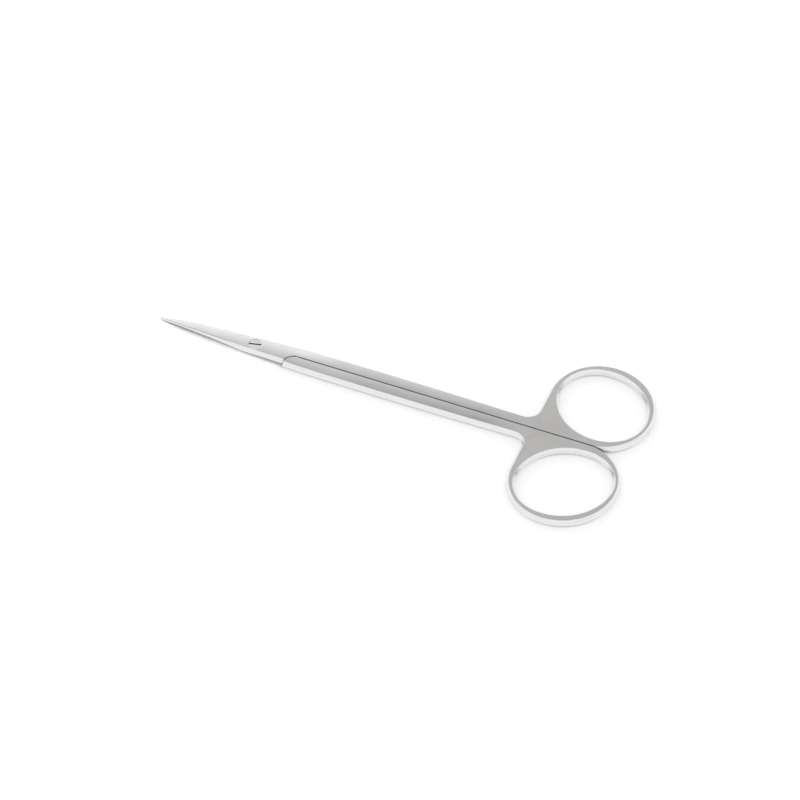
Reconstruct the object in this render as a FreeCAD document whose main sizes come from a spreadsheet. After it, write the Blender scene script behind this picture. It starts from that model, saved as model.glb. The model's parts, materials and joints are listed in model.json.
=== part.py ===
import FreeCAD, Part
import math
import os
import Sketcher

# Straight dissecting scissors: two forged halves in a lap joint, turning on one slotted screw.
# Each half is drawn from the screw's axis: x runs from the blade's tip to the finger ring, y
# towards the half's own ring, z up from the face that lies on the table. The upper half lies as
# it is drawn. The lower half is the same forging turned over about the x axis.

os.makedirs("parts", exist_ok=True)
doc = FreeCAD.newDocument("dissecting_scissors")

# Driving dimensions in millimetres and degrees, each with a word for its alias.
sizes = doc.addObject("Spreadsheet::Sheet", "sizes")
dimensions = [
    ("thickness", 2.6),  # the joint's two layers together, and each shank and ring by itself
    ("lap_gap", 0.04),  # running gap between the two lapped faces
    ("meeting_gap", 0.20),  # gap between the two shanks when the scissors are shut
    ("side_slope", 34.0),  # the forged sides lean in from mid height towards both faces
    ("side_round", 0.8),  # and are rounded at mid height
    ("root_reach", 3.0),  # screw's axis to the blade's root
    ("root_spine", 2.60),  # the blank's width at its end, from the centre line to the spine
    ("root_edge", 2.63),  # and from the centre line to the cutting side
    ("plate_spine", 2.98),  # the joint plate's width on the spine's side, at the shoulder
    ("shoulder_reach", 8.85),  # screw's axis to the other half's shoulder
    ("shoulder_radius", 3.3),  # round corner of that shoulder
    ("shoulder_gap", 0.12),  # gap along the shoulder
    ("joint_reach", 20.0),  # where the joint's outer side runs into the shank
    ("shank_reach", 38.0),  # the shank's widest place
    ("shank_width", 3.95),  # centre line to the outer side there
    ("shank_curve", 1800.0),  # radius of the shank's outer side
    ("neck_radius", 2.8),  # inside corner between shank and ring
    ("ring_reach", 89.51),  # screw's axis to the ring's centre
    ("rim_long", 14.68),  # ring's outer half axes
    ("rim_short", 14.05),
    ("hole_long", 12.06),  # finger hole's half axes, and how far the longer one leans down
    ("hole_short", 10.35),
    ("hole_lean", 35.0),
    ("hole_out", 0.3),  # the hole's centre lies this far outwards and upwards of the ring's
    ("hole_up", 0.4),
    ("ring_bite", 0.93),  # how far the ring's side passes the centre line before it is flattened
    ("tip_reach", 26.5),  # screw's axis to the tip
    ("belly_reach", 13.0),  # the blade's middle section
    ("belly_spine", 1.4),
    ("belly_edge", 1.8),
    ("belly_height", 1.18),
    ("belly_round", 0.35),
    ("point_reach", 20.0),  # the section where the blade draws in to its point
    ("point_spine", 0.78),
    ("point_edge", 1.2),
    ("point_height", 0.95),
    ("point_round", 0.25),
    ("tip_width", 0.12),  # half width, height and rounding at the tip itself
    ("tip_height", 0.5),
    ("tip_round", 0.08),
    ("hollow", 0.03),  # depth of the hollow-ground inner face, as a share of the cutting side
    ("bevel", 0.08),  # how far the bevel behind the edge leans back, as such a share
    ("head_radius", 1.62),  # screw: countersunk head, plain pin, thread and slot
    ("head_rim", 0.12),
    ("head_height", 0.62),
    ("pin_radius", 1.1),
    ("thread_radius", 0.9),
    ("pin_clearance", 0.03),
    ("thread_clearance", 0.02),
    ("screw_inset", 0.05),
    ("slot_width", 0.4),
    ("slot_depth", 0.34),
    ("slot_angle", 13.0),
]
for row, (alias, value) in enumerate(dimensions, start=1):
    sizes.set("A%d" % row, alias)
    sizes.set("B%d" % row, "%g" % value)
    sizes.setAlias("B%d" % row, alias)
doc.recompute()

# Lengths that follow from the driving dimensions, each written once as an expression.
LAP_FACE = "(sizes.thickness + sizes.lap_gap) / 2"
LAP_HEIGHT = "(sizes.thickness - sizes.lap_gap) / 2"
MEETING_FACE = "(sizes.meeting_gap / 2)"
MID_HEIGHT = "(sizes.thickness / 2)"
SIDE_ROUND = "min(sizes.side_round; 0.42 * sizes.thickness)"
ROUND_LOSS = f"({SIDE_ROUND} * (1 / cos(sizes.side_slope * 1deg) - 1))"
# Each oval is four tangent arcs that meet 45 degrees either side of its axes: two tight ones round
# the ends and two slack ones along the sides. The rim's long axis leans down by 45 degrees.
RIM_SHIFT = "((sizes.rim_long - sizes.rim_short) / (2 * sqrt(2) - 2))"
RIM_TIGHT = f"(sizes.rim_long - sqrt(2) * {RIM_SHIFT})"
RIM_REACH = f"({RIM_TIGHT} + {RIM_SHIFT})"
RING_OFFSET = f"({RIM_REACH} - sizes.ring_bite)"
RING_LOW_X = f"(sizes.ring_reach + {RIM_SHIFT})"
RING_LEFT_X = f"(sizes.ring_reach - {RIM_SHIFT})"
RING_LOW_Y = f"({RING_OFFSET} - {RIM_SHIFT})"
RING_LEFT_Y = f"({RING_OFFSET} + {RIM_SHIFT})"
NECK_X = f"(sizes.ring_reach - {RIM_REACH})"
SHOULDER_X = "(sizes.shoulder_reach + sizes.shoulder_radius)"
PLATE_END_RADIUS = "(sizes.shoulder_radius + sizes.shoulder_gap)"
BLANK_ROOT_X = "(-2 * sizes.root_reach)"
BLANK_END_X = f"({SHOULDER_X} + sizes.shoulder_radius)"
OUTSIDE = "(2 * sizes.shoulder_radius + sizes.shank_width)"
PIVOT_X = f"(sizes.tip_reach - sizes.ring_reach - {RIM_REACH} + {ROUND_LOSS}) / 2"


def number(text):
    """What an expression comes to."""
    value = sizes.evalExpression(text)
    return float(getattr(value, "Value", value))


def point(x, y):
    """A sketch point from two expressions."""
    return FreeCAD.Vector(number(x), number(y), 0)


def new_sketch(body, name, role, shift=None):
    """A sketch on one of the body's origin planes, moved along its normal by an expression."""
    sketch = body.newObject("Sketcher::SketchObject", name)
    origin_plane = next(item for item in body.Origin.OriginFeatures if item.Role == role)
    sketch.AttachmentSupport = [(origin_plane, "")]
    sketch.MapMode = "FlatFace"
    if shift:
        sketch.setExpression(".AttachmentOffset.Base.z", shift)
    return sketch


def bind(sketch, text, kind, *where):
    """Adds a constraint whose value follows an expression."""
    index = sketch.addConstraint(Sketcher.Constraint(kind, *where, number(text)))
    sketch.setExpression(f"Constraints[{index}]", text)


def pin(sketch, geometry, end, x=None, y=None):
    """Ties a point of a sketch to expressions for its coordinates."""
    if x is not None:
        bind(sketch, x, "DistanceX", -1, 1, geometry, end)
    if y is not None:
        bind(sketch, y, "DistanceY", -1, 1, geometry, end)


def arc_between(start, end, radius):
    """The short arc from start to end of an anticlockwise outline, hollow if radius < 0."""
    chord = end - start
    left = FreeCAD.Vector(-chord.y, chord.x, 0).normalize()
    reach = math.sqrt(radius**2 - (chord.Length / 2) ** 2)
    centre = (start + end) * 0.5 + left * math.copysign(reach, radius)
    return Part.Arc(start, centre - left * radius, end)


def draw_profile(sketch, corners, arcs):
    """A closed anticlockwise outline through corners given as expressions. arcs holds the radius
    of each side that is an arc, by the number of the corner it starts at, hollow if negative."""
    count = len(corners)
    points = [point(x, y) for x, y in corners]
    # A hollow arc is stored from its end to its start.
    ends = [(2, 1) if arcs.get(index, "")[:1] == "-" else (1, 2) for index in range(count)]
    for index in range(count):
        following = points[(index + 1) % count]
        if index in arcs:
            sketch.addGeometry(arc_between(points[index], following, number(arcs[index])))
        else:
            sketch.addGeometry(Part.LineSegment(points[index], following))
    for index, (x, y) in enumerate(corners):
        before = (index - 1) % count
        join = Sketcher.Constraint("Coincident", before, ends[before][1], index, ends[index][0])
        sketch.addConstraint(join)
        pin(sketch, index, ends[index][0], x, y)
    for index, radius in arcs.items():
        bind(sketch, radius.lstrip("-"), "Radius", index)


def extrude(body, kind, name, sketch, length, upwards, slope=None):
    """A pad or a pocket of a sketch. With a slope it runs to both sides of the sketch, and its
    walls lean by that slope. Stops if a pocket takes nothing away."""
    before = body.Shape.Volume if body.Tip else 0
    feature = body.newObject("PartDesign::" + kind, name)
    feature.Profile = sketch
    feature.setExpression("Length", length)
    feature.Reversed = (kind == "Pocket") == upwards
    if slope:
        feature.SideType = "Two sides"
        feature.setExpression("Length2", length)
        feature.setExpression("TaperAngle", slope)
        feature.setExpression("TaperAngle2", slope)
    sketch.Visibility = False
    doc.recompute()
    if kind == "Pocket" and feature.Shape.Volume > before - 0.01:
        raise RuntimeError(name + " cuts nothing")


def add_blank(body):
    """Joint plate, shank, neck and ring in one smooth outline, drawn at mid height."""
    sketch = new_sketch(body, "blank_outline", "XY_Plane", MID_HEIGHT)
    shank_radius = number("sizes.shank_curve")
    rim_tight = number(RIM_TIGHT)
    rim_slack = number(f"sizes.rim_short + sqrt(2) * {RIM_SHIFT}")
    low = point(RING_LOW_X, "-sizes.ring_bite")
    right = point(f"sizes.ring_reach + {RIM_REACH}", RING_LOW_Y)
    top = point(RING_LEFT_X, f"{RING_OFFSET} + {RIM_REACH}")
    left = point(NECK_X, RING_LEFT_Y)
    neck = point(NECK_X, "sizes.shank_width + sizes.neck_radius")
    shank_end = point(f"{NECK_X} - sizes.neck_radius", "sizes.shank_width")
    joint = point("sizes.joint_reach", "sizes.shank_width")
    root_edge = point(BLANK_ROOT_X, "sizes.root_edge")
    root_spine = point(BLANK_ROOT_X, "-sizes.root_spine")
    plate_end = point(BLANK_END_X, "-sizes.plate_spine")
    # The lower side is level before it runs into the ring. All of it is cut away later.
    level_x = f"{RING_LOW_X} - sizes.rim_long"
    level_start = point(level_x, "-sizes.ring_bite")
    sketch.addGeometry(
        [
            arc_between(low, right, rim_tight),
            arc_between(right, top, rim_slack),
            arc_between(top, left, rim_tight),
            Part.LineSegment(left, neck),
            arc_between(neck, shank_end, -number("sizes.neck_radius")),
            arc_between(shank_end, joint, shank_radius),
            arc_between(joint, root_edge, shank_radius),
            Part.LineSegment(root_edge, root_spine),
            Part.LineSegment(root_spine, plate_end),
            Part.LineSegment(plate_end, level_start),
            Part.LineSegment(level_start, low),
        ]
    )
    # The hollow arc, 4, is stored from its end to its start.
    corners = [(2, 2, 3, 1), (6, 2, 7, 1), (7, 2, 8, 1), (8, 2, 9, 1), (9, 2, 10, 1), (10, 2, 0, 1)]
    smooth_joins = [(0, 2, 1, 1), (1, 2, 2, 1), (3, 2, 4, 2), (4, 1, 5, 1), (5, 2, 6, 1)]
    for join in corners:
        sketch.addConstraint(Sketcher.Constraint("Coincident", *join))
    for join in smooth_joins:
        sketch.addConstraint(Sketcher.Constraint("Tangent", *join))
    pin(sketch, 0, 3, RING_LOW_X, RING_LOW_Y)
    pin(sketch, 1, 3, RING_LEFT_X, RING_LOW_Y)
    pin(sketch, 2, 3, RING_LEFT_X, RING_LEFT_Y)
    bind(sketch, RIM_TIGHT, "Radius", 0)
    pin(sketch, 0, 1, x=RING_LOW_X)
    pin(sketch, 2, 2, y=RING_LEFT_Y)
    sketch.addConstraint(Sketcher.Constraint("Vertical", 3))
    bind(sketch, "sizes.neck_radius", "Radius", 4)
    bind(sketch, "sizes.shank_curve", "Radius", 5)
    pin(sketch, 5, 3, "sizes.shank_reach", "sizes.shank_width - sizes.shank_curve")
    pin(sketch, 5, 2, x="sizes.joint_reach")
    pin(sketch, 6, 2, BLANK_ROOT_X, "sizes.root_edge")
    pin(sketch, 8, 1, BLANK_ROOT_X, "-sizes.root_spine")
    pin(sketch, 8, 2, BLANK_END_X, "-sizes.plate_spine")
    pin(sketch, 10, 1, level_x, "-sizes.ring_bite")
    extrude(body, "Pad", "blank", sketch, MID_HEIGHT, True, "-sizes.side_slope")


def add_finger_hole(body):
    """The ring's oval opening."""
    sketch = new_sketch(body, "finger_hole_outline", "XY_Plane", MID_HEIGHT)
    shift = "((sizes.hole_long - sizes.hole_short) / (2 - sqrt(2)))"
    tight = f"(sizes.hole_long - {shift})"
    slack = f"(sizes.hole_short + {shift})"
    lean = "sizes.hole_lean * 1deg"
    near_x = f"({shift} * cos({lean}) + {tight} * cos({lean} + 45deg))"
    near_y = f"(-{shift} * sin({lean}) - {tight} * sin({lean} + 45deg))"
    far_x = f"({shift} * cos({lean}) + {tight} * cos({lean} - 45deg))"
    far_y = f"(-{shift} * sin({lean}) - {tight} * sin({lean} - 45deg))"
    centre_x = "sizes.ring_reach + sizes.hole_out"
    centre_y = f"{RING_OFFSET} + sizes.hole_up"
    corners = [
        (f"{centre_x} + {near_x}", f"{centre_y} + {near_y}"),
        (f"{centre_x} + {far_x}", f"{centre_y} + {far_y}"),
        (f"{centre_x} - {near_x}", f"{centre_y} - {near_y}"),
        (f"{centre_x} - {far_x}", f"{centre_y} - {far_y}"),
    ]
    draw_profile(sketch, corners, {0: tight, 1: slack, 2: tight, 3: slack})
    extrude(body, "Pocket", "finger_hole", sketch, MID_HEIGHT, True, "sizes.side_slope")


def round_sides(body):
    """Rounds the sides where their two slopes meet at mid height."""
    middle = number(MID_HEIGHT)
    base = body.Tip
    edges = []
    for index, edge in enumerate(base.Shape.Edges, start=1):
        box = edge.BoundBox
        if box.ZLength < 1e-4 and abs(box.ZMin - middle) < 1e-4:
            edges.append(f"Edge{index}")
    rounding = body.newObject("PartDesign::Fillet", "rounded_sides")
    rounding.Base = (base, edges)
    rounding.setExpression("Radius", SIDE_ROUND)
    doc.recompute()


def flatten_meeting_side(body):
    """Cuts the side that meets the other half flat, and the plate's end round its shoulder."""
    sketch = new_sketch(body, "meeting_side_outline", "XY_Plane")
    corner_x = (
        f"({SHOULDER_X} - sqrt({PLATE_END_RADIUS}^2"
        f" - (sizes.shoulder_radius + {MEETING_FACE})^2))"
    )
    end_x = f"{RING_LOW_X} + sizes.rim_long"
    corners = [
        (corner_x, MEETING_FACE),
        (f"{SHOULDER_X} - {PLATE_END_RADIUS}", "-sizes.shoulder_radius"),
        (f"{SHOULDER_X} - {PLATE_END_RADIUS}", f"-{OUTSIDE}"),
        (end_x, f"-{OUTSIDE}"),
        (end_x, MEETING_FACE),
    ]
    draw_profile(sketch, corners, {0: PLATE_END_RADIUS})
    extrude(body, "Pocket", "meeting_side", sketch, "sizes.thickness", True)


def trim_root(body):
    """Cuts the blank square where the blade begins."""
    sketch = new_sketch(body, "root_outline", "XY_Plane")
    beyond_x = "-3 * sizes.root_reach"
    corners = [
        (beyond_x, f"-{OUTSIDE}"),
        ("-sizes.root_reach", f"-{OUTSIDE}"),
        ("-sizes.root_reach", OUTSIDE),
        (beyond_x, OUTSIDE),
    ]
    draw_profile(sketch, corners, {})
    extrude(body, "Pocket", "root", sketch, "sizes.thickness", True)


def cut_lap(body):
    """Takes away the lower layer, from the blade's root to the half's own shoulder."""
    sketch = new_sketch(body, "lap_outline", "XY_Plane")
    beyond_x = "-2 * sizes.root_reach"
    corners = [
        (beyond_x, f"-{OUTSIDE}"),
        (SHOULDER_X, f"-{OUTSIDE}"),
        (SHOULDER_X, "0"),
        ("sizes.shoulder_reach", "sizes.shoulder_radius"),
        ("sizes.shoulder_reach", OUTSIDE),
        (beyond_x, OUTSIDE),
    ]
    draw_profile(sketch, corners, {2: "-sizes.shoulder_radius"})
    extrude(body, "Pocket", "lap", sketch, LAP_FACE, True)


def add_blade(body):
    """Carries the joint plate on from its end face to the tip, thinning and narrowing."""
    plate = body.Tip
    root = -number("sizes.root_reach")
    for index, face in enumerate(plate.Shape.Faces, start=1):
        if face.BoundBox.XLength < 1e-4 and abs(face.BoundBox.XMin - root) < 1e-4:
            root_face = f"Face{index}"
    sections = []
    for place in ("belly", "point", "tip"):
        side = "width" if place == "tip" else "spine"
        spine = f"sizes.{place}_{side}"
        edge = "sizes.tip_width" if place == "tip" else f"sizes.{place}_edge"
        corner = f"min(sizes.{place}_round; 0.9 * {spine}; 0.9 * sizes.{place}_height)"
        top = f"{LAP_FACE} + sizes.{place}_height"
        leaning = f"{edge} * (1 - sizes.bevel)"
        hollow = f"(sizes.hollow * {edge})"
        sketch = new_sketch(body, f"{place}_section", "YZ_Plane", f"-sizes.{place}_reach")
        corners = [
            (f"-{spine}", LAP_FACE),
            (edge, LAP_FACE),
            (leaning, f"{top} - {corner}"),
            (f"{leaning} - {corner}", top),
            (f"{corner} - {spine}", top),
            (f"-{spine}", f"{top} - {corner}"),
        ]
        inner_radius = f"-(({spine} + {edge})^2 / (8 * {hollow}) + {hollow} / 2)"
        draw_profile(sketch, corners, {0: inner_radius, 2: corner, 4: corner})
        sections.append(sketch)
    blade = body.newObject("PartDesign::AdditiveLoft", "blade")
    blade.Profile = (plate, [root_face])
    blade.Sections = sections
    doc.recompute()


def turn(body, kind, name, corners):
    """Turns a profile of radii and heights about the screw's axis."""
    sketch = new_sketch(body, f"{name}_outline", "XZ_Plane")
    draw_profile(sketch, corners, {})
    feature = body.newObject("PartDesign::" + kind, name)
    feature.Profile = sketch
    feature.ReferenceAxis = (sketch, ["V_Axis"])
    sketch.Visibility = False
    doc.recompute()


def add_half(name, seat):
    """One forging, with the hole whose corners are given."""
    body = doc.addObject("PartDesign::Body", name)
    add_blank(body)
    add_finger_hole(body)
    flatten_meeting_side(body)
    trim_root(body)
    round_sides(body)
    cut_lap(body)
    add_blade(body)
    turn(body, "Groove", f"{name}_hole", seat)
    return body


# The screw's head lies a little below the upper face, in a seat with room to turn.
HEAD_TOP = "(sizes.thickness - sizes.screw_inset)"
RIM_FOOT = f"{HEAD_TOP} - sizes.head_rim"
HEAD_FOOT = f"{HEAD_TOP} - sizes.head_height"
ABOVE = "2 * sizes.thickness"
plain_radius = "sizes.pin_radius + sizes.pin_clearance"
seat_radius = "sizes.head_radius + sizes.pin_clearance"
plain_hole = [
    ("0", "0"),
    (plain_radius, "0"),
    (plain_radius, HEAD_FOOT),
    (seat_radius, RIM_FOOT),
    (seat_radius, ABOVE),
    ("0", ABOVE),
]
tapped_radius = "sizes.thread_radius + sizes.thread_clearance"
tapped_hole = [("0", "0"), (tapped_radius, "0"), (tapped_radius, ABOVE), ("0", ABOVE)]

upper_half = add_half("upper_half", plain_hole)
lower_half = add_half("lower_half", tapped_hole)
lower_half.Placement.Rotation = FreeCAD.Rotation(FreeCAD.Vector(1, 0, 0), 180)
lower_half.setExpression("Placement.Base.z", "sizes.thickness")

pivot_screw = doc.addObject("PartDesign::Body", "pivot_screw")
screw_corners = [
    ("0", "sizes.screw_inset"),
    ("sizes.thread_radius", "sizes.screw_inset"),
    ("sizes.thread_radius", LAP_HEIGHT),
    ("sizes.pin_radius", LAP_HEIGHT),
    ("sizes.pin_radius", HEAD_FOOT),
    ("sizes.head_radius", RIM_FOOT),
    ("sizes.head_radius", HEAD_TOP),
    ("0", HEAD_TOP),
]
turn(pivot_screw, "Revolution", "screw", screw_corners)
slot = new_sketch(pivot_screw, "slot_outline", "XY_Plane", HEAD_TOP)
slot.setExpression("AttachmentOffset.Rotation.Angle", "sizes.slot_angle")
half_slot = "sizes.slot_width / 2"
slot_corners = [
    ("-2 * sizes.head_radius", f"-{half_slot}"),
    ("2 * sizes.head_radius", f"-{half_slot}"),
    ("2 * sizes.head_radius", half_slot),
    ("-2 * sizes.head_radius", half_slot),
]
draw_profile(slot, slot_corners, {})
extrude(pivot_screw, "Pocket", "slot", slot, "sizes.slot_depth", False)

# Each piece lies with the whole instrument centred over the row's origin.
pieces = [upper_half, lower_half, pivot_screw]
for piece in pieces:
    piece.setExpression("Placement.Base.x", PIVOT_X)
doc.recompute()

for item in doc.Objects:
    if {"Invalid", "Error"} & set(item.State):
        raise RuntimeError(item.Label + " failed")
for piece in pieces:
    if piece.Shape.isNull() or not piece.Shape.isValid() or len(piece.Shape.Solids) != 1:
        raise RuntimeError(piece.Label + " has no valid solid")
    piece.Shape.exportStep(f"parts/{piece.Label}.step")
    print(piece.Label, round(piece.Shape.Volume, 2), piece.Placement)
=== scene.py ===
import bpy
import json
import math
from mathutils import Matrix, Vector


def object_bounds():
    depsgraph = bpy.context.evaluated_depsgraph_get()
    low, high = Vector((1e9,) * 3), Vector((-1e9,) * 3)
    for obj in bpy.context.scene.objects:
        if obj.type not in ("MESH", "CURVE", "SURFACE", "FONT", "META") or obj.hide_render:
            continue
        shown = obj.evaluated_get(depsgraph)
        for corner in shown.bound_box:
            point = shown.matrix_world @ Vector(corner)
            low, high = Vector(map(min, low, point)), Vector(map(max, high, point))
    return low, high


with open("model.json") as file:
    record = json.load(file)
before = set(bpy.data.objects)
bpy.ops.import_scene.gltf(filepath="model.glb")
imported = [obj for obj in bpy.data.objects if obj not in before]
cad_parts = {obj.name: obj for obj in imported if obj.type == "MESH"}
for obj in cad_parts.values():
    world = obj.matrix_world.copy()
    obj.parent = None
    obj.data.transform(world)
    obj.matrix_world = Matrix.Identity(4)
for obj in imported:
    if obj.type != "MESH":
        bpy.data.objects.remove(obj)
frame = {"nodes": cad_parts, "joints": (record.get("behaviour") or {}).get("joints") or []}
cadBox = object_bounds()
nodes = frame["nodes"]
print("frame loaded:", ", ".join(sorted(nodes)))

# Places that the finishes need, in millimetres, from the frame
millimetre = 0.001  # metres
cadLow = cadBox[0] / millimetre
cadHigh = cadBox[1] / millimetre
lapHeight = (cadLow.z + cadHigh.z) / 2  # where the halves lie on each other
pivotX, pivotY, _ = Vector(frame["joints"][0]["pos_m"]) / millimetre

white = (1.0, 1.0, 1.0, 1.0)


# Shader helpers. A value is a plain number or colour, or the output of another node
def setInputs(tree, node, inputs):
    for socket, value in inputs.items():
        if isinstance(value, bpy.types.NodeSocket):
            tree.links.new(value, node.inputs[socket])
        else:
            node.inputs[socket].default_value = value


def addNode(tree, kind, inputs=None, **settings):
    node = tree.nodes.new(kind)
    for name, value in settings.items():
        setattr(node, name, value)
    setInputs(tree, node, inputs or {})
    return node


def doMath(tree, operation, *values):
    node = addNode(tree, "ShaderNodeMath", dict(enumerate(values)), operation=operation)
    return node.outputs["Value"]


def multiply(tree, first, *others):
    for other in others:
        first = doMath(tree, "MULTIPLY", first, other)
    return first


def oneMinus(tree, share):
    return doMath(tree, "SUBTRACT", 1.0, share)


def distance(tree, value, middle):
    return doMath(tree, "ABSOLUTE", doMath(tree, "SUBTRACT", value, middle))


def remap(tree, value, fromMin, fromMax, toMin=0.0, toMax=1.0, smooth=True):
    ends = {
        "Value": value,
        "From Min": fromMin,
        "From Max": fromMax,
        "To Min": toMin,
        "To Max": toMax,
    }
    style = "SMOOTHSTEP" if smooth else "LINEAR"
    return addNode(tree, "ShaderNodeMapRange", ends, interpolation_type=style).outputs["Result"]


# The Mix node has a row of sockets for each kind of value, known by their places in it
def blend(tree, factor, first, second):
    node = addNode(tree, "ShaderNodeMix", {0: factor, 2: first, 3: second}, data_type="FLOAT")
    return node.outputs[0]


def tint(tree, factor, first, second):
    node = addNode(tree, "ShaderNodeMix", {0: factor, 6: first, 7: second}, data_type="RGBA")
    return node.outputs[2]


def newGroup(name, inputs, outputs):
    group = bpy.data.node_groups.new(name, "ShaderNodeTree")
    for label, start in inputs.items():
        kind = "NodeSocketVector" if isinstance(start, tuple) else "NodeSocketFloat"
        socket = group.interface.new_socket(label, in_out="INPUT", socket_type=kind)
        socket.default_value = start
    for label, kind in outputs.items():
        group.interface.new_socket(label, in_out="OUTPUT", socket_type=kind)
    return group, group.nodes.new("NodeGroupInput").outputs, group.nodes.new("NodeGroupOutput")


def placeGroup(tree, group, inputs):
    return addNode(tree, "ShaderNodeGroup", inputs, node_tree=group).outputs


def newMaterial(name, metallic):
    material = bpy.data.materials.new(name)
    material.use_nodes = True
    tree = material.node_tree
    tree.nodes.clear()
    shader = addNode(tree, "ShaderNodeBsdfPrincipled", {"Metallic": metallic})
    addNode(tree, "ShaderNodeOutputMaterial", {"Surface": shader.outputs["BSDF"]})
    return material, tree, shader


# Camera: a long lens over the near side, looking down on the joint and the rings
cameraView = {
    "azimuth": 22.25,  # degrees round from straight ahead
    "elevation": 47.72,
    "distance": 1.161,  # metres
    "target": (0.003058, -0.0039, 0.0026),
    "lens": 206.5,  # millimetres
    "sensorWidth": 36.0,
    "clip": (0.05, 20.0),
}


def addAimed(thing, place, back):
    thing.location = place
    thing.rotation_euler = back.to_track_quat("Z", "Y").to_euler()
    bpy.context.scene.collection.objects.link(thing)


azimuth = math.radians(cameraView["azimuth"])
elevation = math.radians(cameraView["elevation"])
back = Vector(
    (
        math.sin(azimuth) * math.cos(elevation),
        -math.cos(azimuth) * math.cos(elevation),
        math.sin(elevation),
    )
)
camera = bpy.data.cameras.new("camera")
camera.lens = cameraView["lens"]
camera.sensor_width = cameraView["sensorWidth"]
camera.clip_start, camera.clip_end = cameraView["clip"]
cameraObject = bpy.data.objects.new("camera", camera)
addAimed(cameraObject, Vector(cameraView["target"]) + back * cameraView["distance"], back)
bpy.context.scene.camera = cameraObject
print("camera placed")

# Effects in the two steels. A pair is where a change begins and where it is full
effects = {
    "grainDetail": 3.0,
    "grainRoughness": 0.65,
    "patchDetail": 2.0,
    "noiseRange": (0.3, 0.7),
    # openSky: the painted shade in a crevice grows as it sees less of its surroundings
    "openSky": (0.95, 0.35),  # share of its surroundings that a crevice still sees
    "skySamples": 8,
    "sharpness": (0.999, 0.93),  # likeness of the softened normal to the true one
    "edgeSamples": 6,
}


def makeBrushedGrain():
    inputs = {"Along": 0.0, "Across": 0.0, "Streak Length": 6.0, "Streak Width": 0.15}
    group, given, result = newGroup("brushedGrain", inputs, {"Streak": "NodeSocketFloat"})
    along = doMath(group, "DIVIDE", given["Along"], given["Streak Length"])
    across = doMath(group, "DIVIDE", given["Across"], given["Streak Width"])
    place = addNode(group, "ShaderNodeCombineXYZ", {"X": along, "Y": across}).outputs["Vector"]
    settings = {
        "Vector": place,
        "Scale": 1.0,
        "Detail": effects["grainDetail"],
        "Roughness": effects["grainRoughness"],
    }
    noise = addNode(group, "ShaderNodeTexNoise", settings).outputs["Fac"]
    setInputs(group, result, {"Streak": remap(group, noise, *effects["noiseRange"], smooth=False)})
    return group


def makeMottle():
    inputs = {"Position": (0.0, 0.0, 0.0), "Patch Size": 5.0}
    group, given, result = newGroup("mottle", inputs, {"Patches": "NodeSocketFloat"})
    scale = doMath(group, "DIVIDE", 1.0, given["Patch Size"])
    scaled = {"Vector": given["Position"], "Scale": scale}
    place = addNode(group, "ShaderNodeVectorMath", scaled, operation="SCALE").outputs["Vector"]
    settings = {"Vector": place, "Scale": 1.0, "Detail": effects["patchDetail"]}
    noise = addNode(group, "ShaderNodeTexNoise", settings).outputs["Fac"]
    setInputs(group, result, {"Patches": remap(group, noise, *effects["noiseRange"])})
    return group


# Painted shade in crevices and near the table: darker where a point sees little of its surroundings
def makeCreviceShade():
    group, given, result = newGroup("creviceShade", {"Reach": 0.4}, {"Depth": "NodeSocketFloat"})
    reach = {"Distance": multiply(group, given["Reach"], millimetre)}
    samples = effects["skySamples"]
    sky = addNode(group, "ShaderNodeAmbientOcclusion", reach, samples=samples).outputs["AO"]
    setInputs(group, result, {"Depth": remap(group, sky, *effects["openSky"])})
    return group


# Softened normal at the edges, and a mask that lightens them: wear and a painted highlight together
def makeSoftEdge():
    outputs = {"Normal": "NodeSocketVector", "Wear And Highlight": "NodeSocketFloat"}
    group, given, result = newGroup("softEdge", {"Radius": 0.15}, outputs)
    radius = {"Radius": multiply(group, given["Radius"], millimetre)}
    samples = effects["edgeSamples"]
    soft = addNode(group, "ShaderNodeBevel", radius, samples=samples).outputs["Normal"]
    plain = addNode(group, "ShaderNodeNewGeometry").outputs["Normal"]
    pair = addNode(group, "ShaderNodeVectorMath", {0: soft, 1: plain}, operation="DOT_PRODUCT")
    wearAndHighlight = remap(group, pair.outputs["Value"], *effects["sharpness"])
    setInputs(group, result, {"Normal": soft, "Wear And Highlight": wearAndHighlight})
    return group


brushedGrain = makeBrushedGrain()
mottle = makeMottle()
creviceShade = makeCreviceShade()
softEdge = makeSoftEdge()
print("effects ready")


def readPlace(tree):  # on the object at rest, in millimetres
    place = addNode(tree, "ShaderNodeTexCoord").outputs["Object"]
    scaled = {0: place, 1: (1 / millimetre,) * 3}
    position = addNode(tree, "ShaderNodeVectorMath", scaled, operation="MULTIPLY").outputs["Vector"]
    parts = addNode(tree, "ShaderNodeSeparateXYZ", {"Vector": position}).outputs
    return position, parts["X"], parts["Y"], parts["Z"]


def readLevel(tree):  # 1 on a face that lies flat, 0 on an upright one
    normal = addNode(tree, "ShaderNodeTexCoord").outputs["Normal"]
    upward = addNode(tree, "ShaderNodeSeparateXYZ", {"Vector": normal}).outputs["Z"]
    return doMath(tree, "ABSOLUTE", upward)


def roundAbout(tree, x, y, centreX, centreY):  # angle and radius about a centre
    dx = doMath(tree, "SUBTRACT", x, centreX)
    dy = doMath(tree, "SUBTRACT", y, centreY)
    squares = doMath(tree, "ADD", multiply(tree, dx, dx), multiply(tree, dy, dy))
    return doMath(tree, "ARCTAN2", dy, dx), doMath(tree, "SQRT", squares)


def addStreaks(tree, along, across, size):
    length, width = size
    inputs = {"Along": along, "Across": across, "Streak Length": length, "Streak Width": width}
    return placeGroup(tree, brushedGrain, inputs)["Streak"]


def addPatches(tree, position, size):
    return placeGroup(tree, mottle, {"Position": position, "Patch Size": size})["Patches"]


# Painted shade from how much of its surroundings a point sees
def addCreviceShade(tree, reach):
    return placeGroup(tree, creviceShade, {"Reach": reach})["Depth"]


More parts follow.
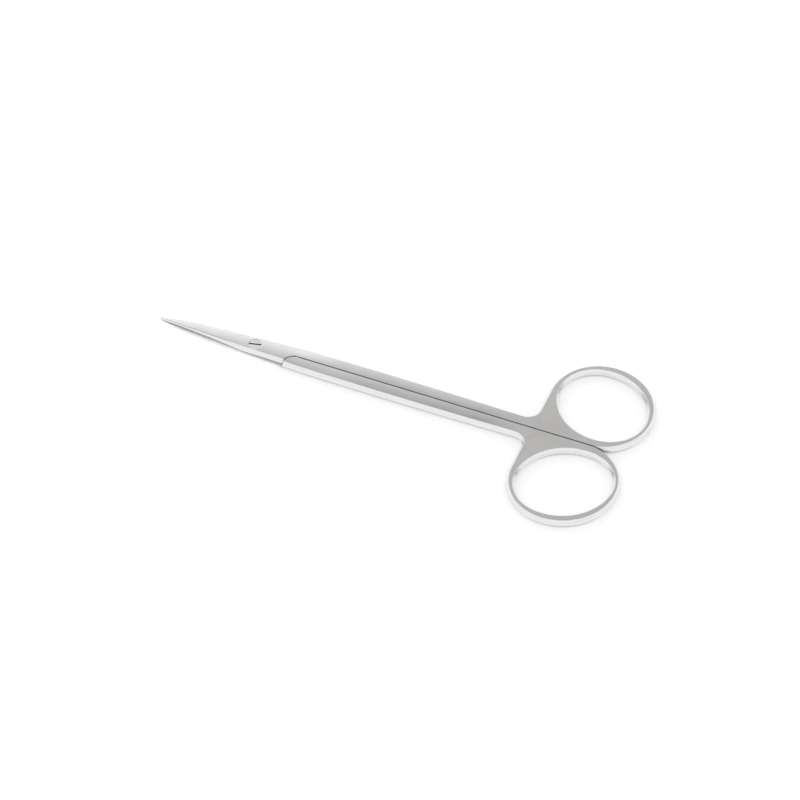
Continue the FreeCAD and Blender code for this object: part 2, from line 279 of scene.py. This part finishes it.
# Steel of the two halves: satin ground flats, slightly crowned, and polished sides.
# Lengths are in millimetres. A pair is where a change begins and where it is full
halves = {
    "flatColour": (0.85, 0.84, 0.83, 1.0),
    "sideColour": (0.85, 0.85, 0.845, 1.0),
    # Painted shade on the low sides, near the table
    "paintedLowShadeColour": (0.50, 0.50, 0.50, 1.0),  # where the sides turn down to the table
    # Worn edges, lightened also as a painted highlight
    "wearAndPaintedHighlightColour": (0.95, 0.95, 0.95, 1.0),
    # The grain's colour, and the painted shade in the gaps and crevices
    "grainAndPaintedShadeColour": (0.10, 0.10, 0.10, 1.0),
    "flatRoughness": 0.28,
    "sideRoughness": 0.14,
    "innerRoughness": 0.6,  # ground faces inside the lap
    "patchRoughness": 0.05,
    "patchSize": 6.0,
    "shankStreaks": (7.0, 0.16),  # length and width
    "ringStreaks": (5.0, 0.16),
    "streakShade": 0.16,  # share of the colour that the grain takes away
    "streakRelief": 0.0012,
    "edgeRadius": 0.18,
    "creviceShadeReach": 0.15,
    "paintedLowShadeReach": 2.4,
    "paintedLowShadeStart": (-34.0, -28.0),  # along the object, from the blades to the shanks
    "flatLevel": (0.93, 0.999),  # how flat a face lies, from side to ground flat
    "lapBand": (0.14, 0.08),  # off the lap's height
    "ringRadius": 14.2,  # outside
    "ringStart": (30.0, 38.0),
    "jointCrown": 0.03,  # how round the flats are, per millimetre
    "shankCrown": 0.022,
    "shankMiddle": (0.3, 1.6),  # off the middle line, on the lower half and the upper half
    "halfStep": (-0.1, 0.1),  # across the middle line, from the lower half to the upper half
    "shankStart": (-28.0, -14.0),
    "crownEnd": (36.0, 22.0),
    # Painted shade in the gaps where the halves meet: round the shoulder, and between the shanks
    "paintedShadeStrength": 0.9,
    "shoulderReach": 8.85,  # from the screw
    "shoulderRadius": 3.3,
    "shoulderGap": 0.12,
    "shoulderWidth": (0.26, 0.078),
    "shoulderEnd": 0.5,
    "shoulderSide": (0.3, 0.0),  # the lower half's side of the middle line
    "seamWidth": (0.26, 0.10),
    "seamStart": (-0.5, 0.3),  # from the centre of the shoulder's round corner
    "lineLevel": (0.2, 0.4),  # how flat a face lies, from bare to marked
}


def findFaces(tree, level, z):
    flat = remap(tree, level, *halves["flatLevel"])
    inner = multiply(tree, flat, remap(tree, distance(tree, z, lapHeight), *halves["lapBand"]))
    return flat, inner, doMath(tree, "SUBTRACT", flat, inner)


# Grain along the blades and shanks, and round the rings
def findGrain(tree, x, y, z, side):
    ringX = cadHigh.x - halves["ringRadius"]
    ringY = cadHigh.y - halves["ringRadius"]
    angle, radius = roundAbout(tree, x, side, ringX, ringY)
    arc = multiply(tree, angle, ringY)  # on the circle that touches the middle line
    shank = addStreaks(tree, x, doMath(tree, "ADD", y, z), halves["shankStreaks"])
    ring = addStreaks(tree, arc, doMath(tree, "ADD", radius, z), halves["ringStreaks"])
    return blend(tree, remap(tree, x, *halves["ringStart"]), shank, ring)


# Crown of the flats: across both halves at the joint, and across each shank
def findCrown(tree, x, y, side):
    middle = remap(tree, y, *halves["halfStep"], *halves["shankMiddle"])
    off = doMath(tree, "SUBTRACT", side, middle)
    shank = multiply(tree, off, off, -halves["shankCrown"])
    joint = multiply(tree, y, y, -halves["jointCrown"])
    height = blend(tree, remap(tree, x, *halves["shankStart"]), joint, shank)
    return multiply(tree, height, remap(tree, x, *halves["crownEnd"]))


# Painted shade along the shoulder's gap and the seam between the halves
def findPaintedGapShade(tree, x, y, side, level):
    radius = halves["shoulderRadius"]
    cornerX = pivotX + halves["shoulderReach"] + radius
    _, away = roundAbout(tree, x, side, cornerX, radius)
    offShoulder = distance(tree, away, radius + halves["shoulderGap"] / 2)
    shoulder = multiply(
        tree,
        remap(tree, offShoulder, *halves["shoulderWidth"]),
        remap(tree, x, cornerX, cornerX - halves["shoulderEnd"]),
        remap(tree, y, *halves["shoulderSide"]),
    )
    fromCorner = doMath(tree, "SUBTRACT", x, cornerX)
    seam = multiply(
        tree,
        remap(tree, side, *halves["seamWidth"]),
        remap(tree, fromCorner, *halves["seamStart"]),
    )
    lying = remap(tree, level, *halves["lineLevel"])
    return multiply(tree, doMath(tree, "MAXIMUM", shoulder, seam), lying)


def makeHalfSteel():
    material, tree, shader = newMaterial("satinSteel", metallic=1.0)
    position, x, y, z = readPlace(tree)
    side = doMath(tree, "ABSOLUTE", y)
    level = readLevel(tree)
    flat, inner, outer = findFaces(tree, level, z)
    streak = findGrain(tree, x, y, z, side)
    edge = placeGroup(tree, softEdge, {"Radius": halves["edgeRadius"]})

    # Colour: steel, worn edges with a painted highlight, painted shade on the low sides, grain, and
    # painted shade in the gaps and crevices
    colour = tint(tree, outer, halves["sideColour"], halves["flatColour"])
    # Edges lightened as wear and as a painted highlight
    colour = tint(tree, edge["Wear And Highlight"], colour, halves["wearAndPaintedHighlightColour"])
    # Painted shade on the sides near the table
    low = multiply(
        tree,
        addCreviceShade(tree, halves["paintedLowShadeReach"]),
        oneMinus(tree, flat),
        remap(tree, x, *halves["paintedLowShadeStart"]),
    )
    colour = tint(tree, low, colour, halves["paintedLowShadeColour"])
    grain = multiply(tree, streak, halves["streakShade"])
    colour = tint(tree, grain, colour, halves["grainAndPaintedShadeColour"])
    # Painted shade in the crevices and along the gaps between the halves
    paintedCreviceShade = multiply(tree, addCreviceShade(tree, halves["creviceShadeReach"]), oneMinus(tree, inner))
    paintedShade = doMath(tree, "MAXIMUM", findPaintedGapShade(tree, x, y, side, level), paintedCreviceShade)
    colour = tint(tree, multiply(tree, paintedShade, halves["paintedShadeStrength"]), colour, halves["grainAndPaintedShadeColour"])

    rough = blend(tree, outer, halves["sideRoughness"], halves["flatRoughness"])
    rough = blend(tree, inner, rough, halves["innerRoughness"])
    patches = addPatches(tree, position, halves["patchSize"])
    rough = doMath(tree, "ADD", rough, multiply(tree, patches, halves["patchRoughness"]))

    relief = multiply(tree, streak, halves["streakRelief"])
    height = doMath(tree, "ADD", findCrown(tree, x, y, side), relief)
    bump = {"Height": height, "Distance": millimetre, "Strength": 1.0, "Normal": edge["Normal"]}
    normal = addNode(tree, "ShaderNodeBump", bump).outputs["Normal"]
    setInputs(tree, shader, {"Base Color": colour, "Roughness": rough, "Normal": normal})
    return material


def dress(name, material):
    nodes[name].data.materials.clear()
    nodes[name].data.materials.append(material)


halfSteel = makeHalfSteel()
dress("upper_half", halfSteel)
dress("lower_half", halfSteel)
print("halves finished")

# Screw: turned and polished head, with painted shade in the slot. Lengths are in millimetres
screw = {
    "colour": (0.80, 0.80, 0.79, 1.0),
    # The grain's colour, and the painted shade in the slot
    "grainAndSlotShadeColour": (0.06, 0.06, 0.06, 1.0),
    "slotShadeReach": 0.6,
    "roughness": 0.22,
    "patchRoughness": 0.06,
    "patchSize": 1.0,
    "streaks": (1.5, 0.10),  # length in radians, and width
    "streakShade": 0.12,
    "streakRelief": 0.001,
}


def makeScrewSteel():
    material, tree, shader = newMaterial("screwSteel", metallic=1.0)
    position, x, y, _ = readPlace(tree)
    angle, radius = roundAbout(tree, x, y, pivotX, pivotY)
    streak = addStreaks(tree, angle, radius, screw["streaks"])
    grain = multiply(tree, streak, screw["streakShade"])
    colour = tint(tree, grain, screw["colour"], screw["grainAndSlotShadeColour"])
    # Painted shade in the slot
    colour = tint(tree, addCreviceShade(tree, screw["slotShadeReach"]), colour, screw["grainAndSlotShadeColour"])

    patches = addPatches(tree, position, screw["patchSize"])
    patchy = multiply(tree, patches, screw["patchRoughness"])
    rough = doMath(tree, "ADD", patchy, screw["roughness"])

    bump = {"Height": streak, "Distance": screw["streakRelief"] * millimetre, "Strength": 1.0}
    normal = addNode(tree, "ShaderNodeBump", bump).outputs["Normal"]
    setInputs(tree, shader, {"Base Color": colour, "Roughness": rough, "Normal": normal})
    return material


dress("pivot_screw", makeScrewSteel())
print("screw finished")

# Floor: white to the camera and in the steel, with the object's soft shadow
floorLook = {"colour": (0.80, 0.80, 0.80, 1.0), "roughness": 0.7, "glow": 0.47, "size": 8.0}


def makePaleFloor():
    material, tree, shader = newMaterial("paleFloor", metallic=0.0)
    rays = addNode(tree, "ShaderNodeLightPath").outputs
    seen = doMath(tree, "MAXIMUM", rays["Is Camera Ray"], rays["Is Glossy Ray"])
    seen = doMath(tree, "MAXIMUM", seen, rays["Is Transmission Ray"])
    look = {
        "Base Color": floorLook["colour"],
        "Roughness": floorLook["roughness"],
        "Emission Color": white,
        "Emission Strength": multiply(tree, seen, floorLook["glow"]),
    }
    setInputs(tree, shader, look)
    return material


bpy.ops.mesh.primitive_plane_add(size=floorLook["size"], location=(0, 0, 0))
floor = bpy.context.object
floor.name = "floor"
floor.data.materials.append(makePaleFloor())

# Studio: white all round, dimmer high up, most of all on the far side
studio = {
    "heights": (0.5, 0.92),  # the light falls off between these, where 1 is straight up
    "farSide": (1.0, 0.17),  # light below and above them
    "nearSide": (1.05, 0.55),
    "turn": (-0.2, 0.4),  # from the near side to the far side
    "backdrop": 1.0,
}


def makeStudio():
    world = bpy.data.worlds.new("studio")
    bpy.context.scene.world = world
    world.use_nodes = True
    tree = world.node_tree
    direction = addNode(tree, "ShaderNodeTexCoord").outputs["Generated"]
    far = (-math.sin(azimuth), math.cos(azimuth), 0.0)
    toFar = addNode(tree, "ShaderNodeVectorMath", {0: direction, 1: far}, operation="DOT_PRODUCT")
    up = addNode(tree, "ShaderNodeSeparateXYZ", {"Vector": direction}).outputs["Z"]
    farLevel = remap(tree, up, *studio["heights"], *studio["farSide"], smooth=False)
    nearLevel = remap(tree, up, *studio["heights"], *studio["nearSide"], smooth=False)
    turn = remap(tree, toFar.outputs["Value"], *studio["turn"])
    level = blend(tree, turn, nearLevel, farLevel)
    rays = addNode(tree, "ShaderNodeLightPath").outputs
    level = blend(tree, rays["Is Camera Ray"], level, studio["backdrop"])
    setInputs(tree, tree.nodes["Background"], {"Color": white, "Strength": level})


makeStudio()

# A softbox over the tips, which lifts the flat of the blade
tipSoftbox = {
    "place": (-0.38, 0.34, 0.34),  # metres
    "aim": (-0.36, 0.2, 0.0),
    "size": (0.42, 0.5),
    "power": 0.34,  # watts
}
light = bpy.data.lights.new("tipSoftbox", "AREA")
light.shape = "RECTANGLE"
light.size, light.size_y = tipSoftbox["size"]
light.energy = tipSoftbox["power"]
softbox = bpy.data.objects.new("tipSoftbox", light)
addAimed(softbox, tipSoftbox["place"], Vector(tipSoftbox["place"]) - Vector(tipSoftbox["aim"]))
print("floor and studio ready")

bpy.context.scene.view_settings.view_transform = "Standard"
